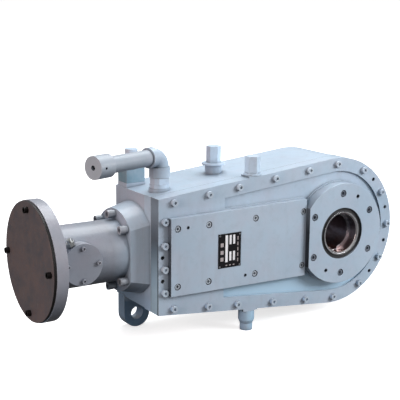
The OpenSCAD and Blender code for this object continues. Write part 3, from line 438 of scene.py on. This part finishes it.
# Width of the rounding, in metres
EDGE_ROUND = {
    "casing": 0.0028, "front_cover": 0.003, "service_plate": 0.0014, "output_bearing_cap": 0.0016,
    "output_rear_cap": 0.0016, "input_housing": 0.0022, "side_cover": 0.001, "breather_elbow": 0.0014,
    "breather_cap": 0.0012, "breather_nipple": 0.001, "breather_pipe": 0.0008, "filler_block": 0.002,
    "filler_knob": 0.0015, "front_plug": 0.0012, "rear_plug": 0.0012, "drain_plug": 0.0014,
    "cover_screws": 0.0009, "service_plate_screws": 0.0007, "output_cap_screws": 0.0008,
    "neck_screws": 0.001, "neck_sleeves": 0.0008, "side_cover_screws": 0.0006, "blanking_plate": 0.0009,
    "blanking_screws": 0.0009, "grease_fitting": 0.0009, "hollow_output_shaft": 0.0014,
    "coupling_hub": 0.001, "output_gear": 0.0006, "idler_gear": 0.0006,
}
WELD_GAP = 1e-6
FACET_ANGLE = math.radians(0.6)
SHARP_ANGLE = math.radians(32)


def round_edges(obj, width):
    """Joins the flat facets into faces and rounds the sharp edges, as modifiers."""
    weld = obj.modifiers.new("weld", "WELD")
    weld.merge_threshold = WELD_GAP
    flat = obj.modifiers.new("flat_faces", "DECIMATE")
    flat.decimate_type = "DISSOLVE"
    flat.angle_limit = FACET_ANGLE
    bevel = obj.modifiers.new("rounded", "BEVEL")
    bevel.width = width
    bevel.segments = 2
    bevel.limit_method = "ANGLE"
    bevel.angle_limit = SHARP_ANGLE
    bevel.harden_normals = False
    bevel.use_clamp_overlap = True
    weighted = obj.modifiers.new("weighted", "WEIGHTED_NORMAL")
    weighted.keep_sharp = False
    weighted.weight = 80


for name, width in EDGE_ROUND.items():
    round_edges(nodes[name], width)


# ---------- nameplate marks ----------

CORNERS = ((-1, -1), (1, -1), (1, 1), (-1, 1))
MARK_LIFT = 0.00035
MARK_CHAMFER = 0.00015


def rectangle(x, z, half_width, half_height):
    """The four corners of a rectangle, as (x, z)."""
    return [(x + sx * half_width, z + sz * half_height) for sx, sz in CORNERS]


def raised_pads(name, pads, y):
    """Small raised pads with bevelled rims on a face to -Y. Each pad is (x, z, width, height)."""
    shape = bmesh.new()
    for x, z, w, h in pads:
        outer = rectangle(x, z, w / 2, h / 2)
        inner = rectangle(x, z, w / 2 - MARK_CHAMFER, h / 2 - MARK_CHAMFER)
        back = [shape.verts.new((px, y, pz)) for px, pz in outer]
        side = [shape.verts.new((px, y - MARK_LIFT + MARK_CHAMFER / 2, pz)) for px, pz in outer]
        top = [shape.verts.new((px, y - MARK_LIFT, pz)) for px, pz in inner]
        shape.faces.new(back[::-1])
        shape.faces.new(top)
        for i in range(4):
            j = (i + 1) % 4
            shape.faces.new((back[i], back[j], side[j], side[i]))
            shape.faces.new((side[i], side[j], top[j], top[i]))
    bmesh.ops.recalc_face_normals(shape, faces=shape.faces)
    mesh = bpy.data.meshes.new(name)
    shape.to_mesh(mesh)
    shape.free()
    obj = bpy.data.objects.new(name, mesh)
    bpy.context.scene.collection.objects.link(obj)
    return obj


def make_nameplate_marks():
    """Blank fields of a rating plate, in parts of the plate's size: one long field and two columns of
    short ones, with dimmer small ones round them."""
    low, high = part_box("nameplate")
    width, height = high.x - low.x, high.z - low.z
    middle_z = (low.z + high.z) / 2

    def field(across, up, w, h):
        return (low.x + across * width, middle_z + up * height, w * width, h * height)

    bright = [field(0.36, 0.06, 0.11, 0.79)]
    bright += [field(across, up, 0.09, 0.27) for across in (0.53, 0.69) for up in (0.31, -0.17)]
    dim = [field(0.16, up, 0.13, 0.11) for up in (0.18, -0.04, -0.24)]
    dim += [field(0.86, up, 0.04, 0.1) for up in (0.33, 0.17, 0.01, -0.15, -0.31)]
    dim += [field(across, -0.43, 0.07, 0.03) for across in (0.36, 0.52, 0.68)]
    pieces = {"nameplate_fields": (bright, "label_silver"), "nameplate_marks": (dim, "label_dim")}
    for name, (pads, finish) in pieces.items():
        marks = raised_pads(name, pads, low.y)
        marks.data.materials.append(MATERIALS[finish])
        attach(marks, "housing")


make_nameplate_marks()


# ---------- stage, light and camera ----------

WHITE = (1.0, 1.0, 1.0, 1)
FLOOR_HALF_SIZE = 60.0
FLOOR_GLOW = 0.7
FLOOR_FADE = (0.8, 2.6)       # the floor turns to background white between these distances
WORLD_LIGHT = 0.55
WARM_SIDE = (0.30, 0.25, 0.24, 1)
COOL_SIDE = (0.45, 0.51, 0.57, 1)


def make_floor(z):
    """A wide pale floor that fades into the white background and throws little light back up."""
    corners = [(x * FLOOR_HALF_SIZE, y * FLOOR_HALF_SIZE, z) for x, y in CORNERS]
    mesh = bpy.data.meshes.new("floor")
    mesh.from_pydata(corners, [], [(0, 1, 2, 3)])
    floor = bpy.data.objects.new("floor", mesh)
    bpy.context.scene.collection.objects.link(floor)
    material, tree, shader, at = start("pale_floor")
    grain = noise(tree, at, 60.0, 3.0)
    pale = mix(tree, span(tree, grain, 0.3, 0.7), (0.9, 0.9, 0.9, 1), (0.94, 0.94, 0.94, 1))
    seen = add(tree, "LightPath").outputs["Is Camera Ray"]
    away = add(tree, "VectorMath", {0: at}, operation="LENGTH").outputs["Value"]
    glow = times(tree, seen, span(tree, away, *FLOOR_FADE, FLOOR_GLOW, 1.0))
    colour = mix(tree, seen, (0.1, 0.1, 0.1, 1), pale)
    set_shader(tree, shader, Base_Color=colour, Roughness=0.8, Emission_Color=WHITE, Emission_Strength=glow)
    mesh.materials.append(material)


def make_world():
    """White to the camera. For light it is bright overhead, dim and warm low on the left."""
    world = bpy.data.worlds.new("studio")
    bpy.context.scene.world = world
    world.use_nodes = True
    tree = world.node_tree
    direction = axes(tree, add(tree, "TexCoord").outputs["Generated"])
    side = mix(tree, span(tree, direction["X"], -0.8, 0.5), WARM_SIDE, COOL_SIDE)
    light = mix(tree, span(tree, direction["Z"], 0.0, 0.9), side, WHITE)
    seen = add(tree, "LightPath").outputs["Is Camera Ray"]
    background = tree.nodes["Background"]
    tree.links.new(mix(tree, seen, light, WHITE), background.inputs["Color"])
    tree.links.new(span(tree, seen, 0.0, 1.0, WORLD_LIGHT, 1.0), background.inputs["Strength"])


def area_light(name, at, target, size, watts, colour):
    """A rectangular softbox aimed at a point."""
    data = bpy.data.lights.new(name, "AREA")
    data.shape = "RECTANGLE"
    data.size, data.size_y = size
    data.energy = watts
    data.color = colour
    light = bpy.data.objects.new(name, data)
    bpy.context.scene.collection.objects.link(light)
    light.location = at
    light.rotation_mode = "QUATERNION"
    light.rotation_quaternion = (Vector(target) - Vector(at)).to_track_quat("-Z", "Y")


def make_camera(at, yaw, pitch, roll, lens):
    """A camera turned from +Y by yaw, down by pitch and about its own view by roll, all in degrees."""
    yaw, pitch, roll = math.radians(yaw), math.radians(pitch), math.radians(roll)
    forward = Vector((math.sin(yaw) * math.cos(pitch), math.cos(yaw) * math.cos(pitch), math.sin(pitch)))
    turn = forward.to_track_quat("-Z", "Y").to_matrix().to_4x4() @ Matrix.Rotation(roll, 4, "Z")
    data = bpy.data.cameras.new("camera")
    data.sensor_width = 36
    data.lens = lens
    camera = bpy.data.objects.new("camera", data)
    bpy.context.scene.collection.objects.link(camera)
    camera.matrix_world = Matrix.Translation(at) @ turn
    bpy.context.scene.camera = camera


make_floor(cad_box[0].z)
make_world()
area_light("overhead", at=(0.15, 0.5, 1.9), target=(-0.15, 0, 0), size=(2.0, 1.3), watts=40,
           colour=(0.95, 0.98, 1.0))
area_light("right_softbox", at=(1.6, -2.1, 1.1), target=(-0.1, -0.1, 0), size=(1.4, 1.2), watts=64,
           colour=(0.95, 0.97, 1.0))
area_light("left_fill", at=(-3.0, -0.9, 0.7), target=(-0.6, 0, 0), size=(1.2, 1.0), watts=33,
           colour=(1.0, 0.82, 0.76))
make_camera(at=(-1.9909, -2.4894, 0.7547), yaw=32.36, pitch=-12.21, roll=0.56, lens=88.04)
bpy.context.scene.view_settings.view_transform = "Standard"
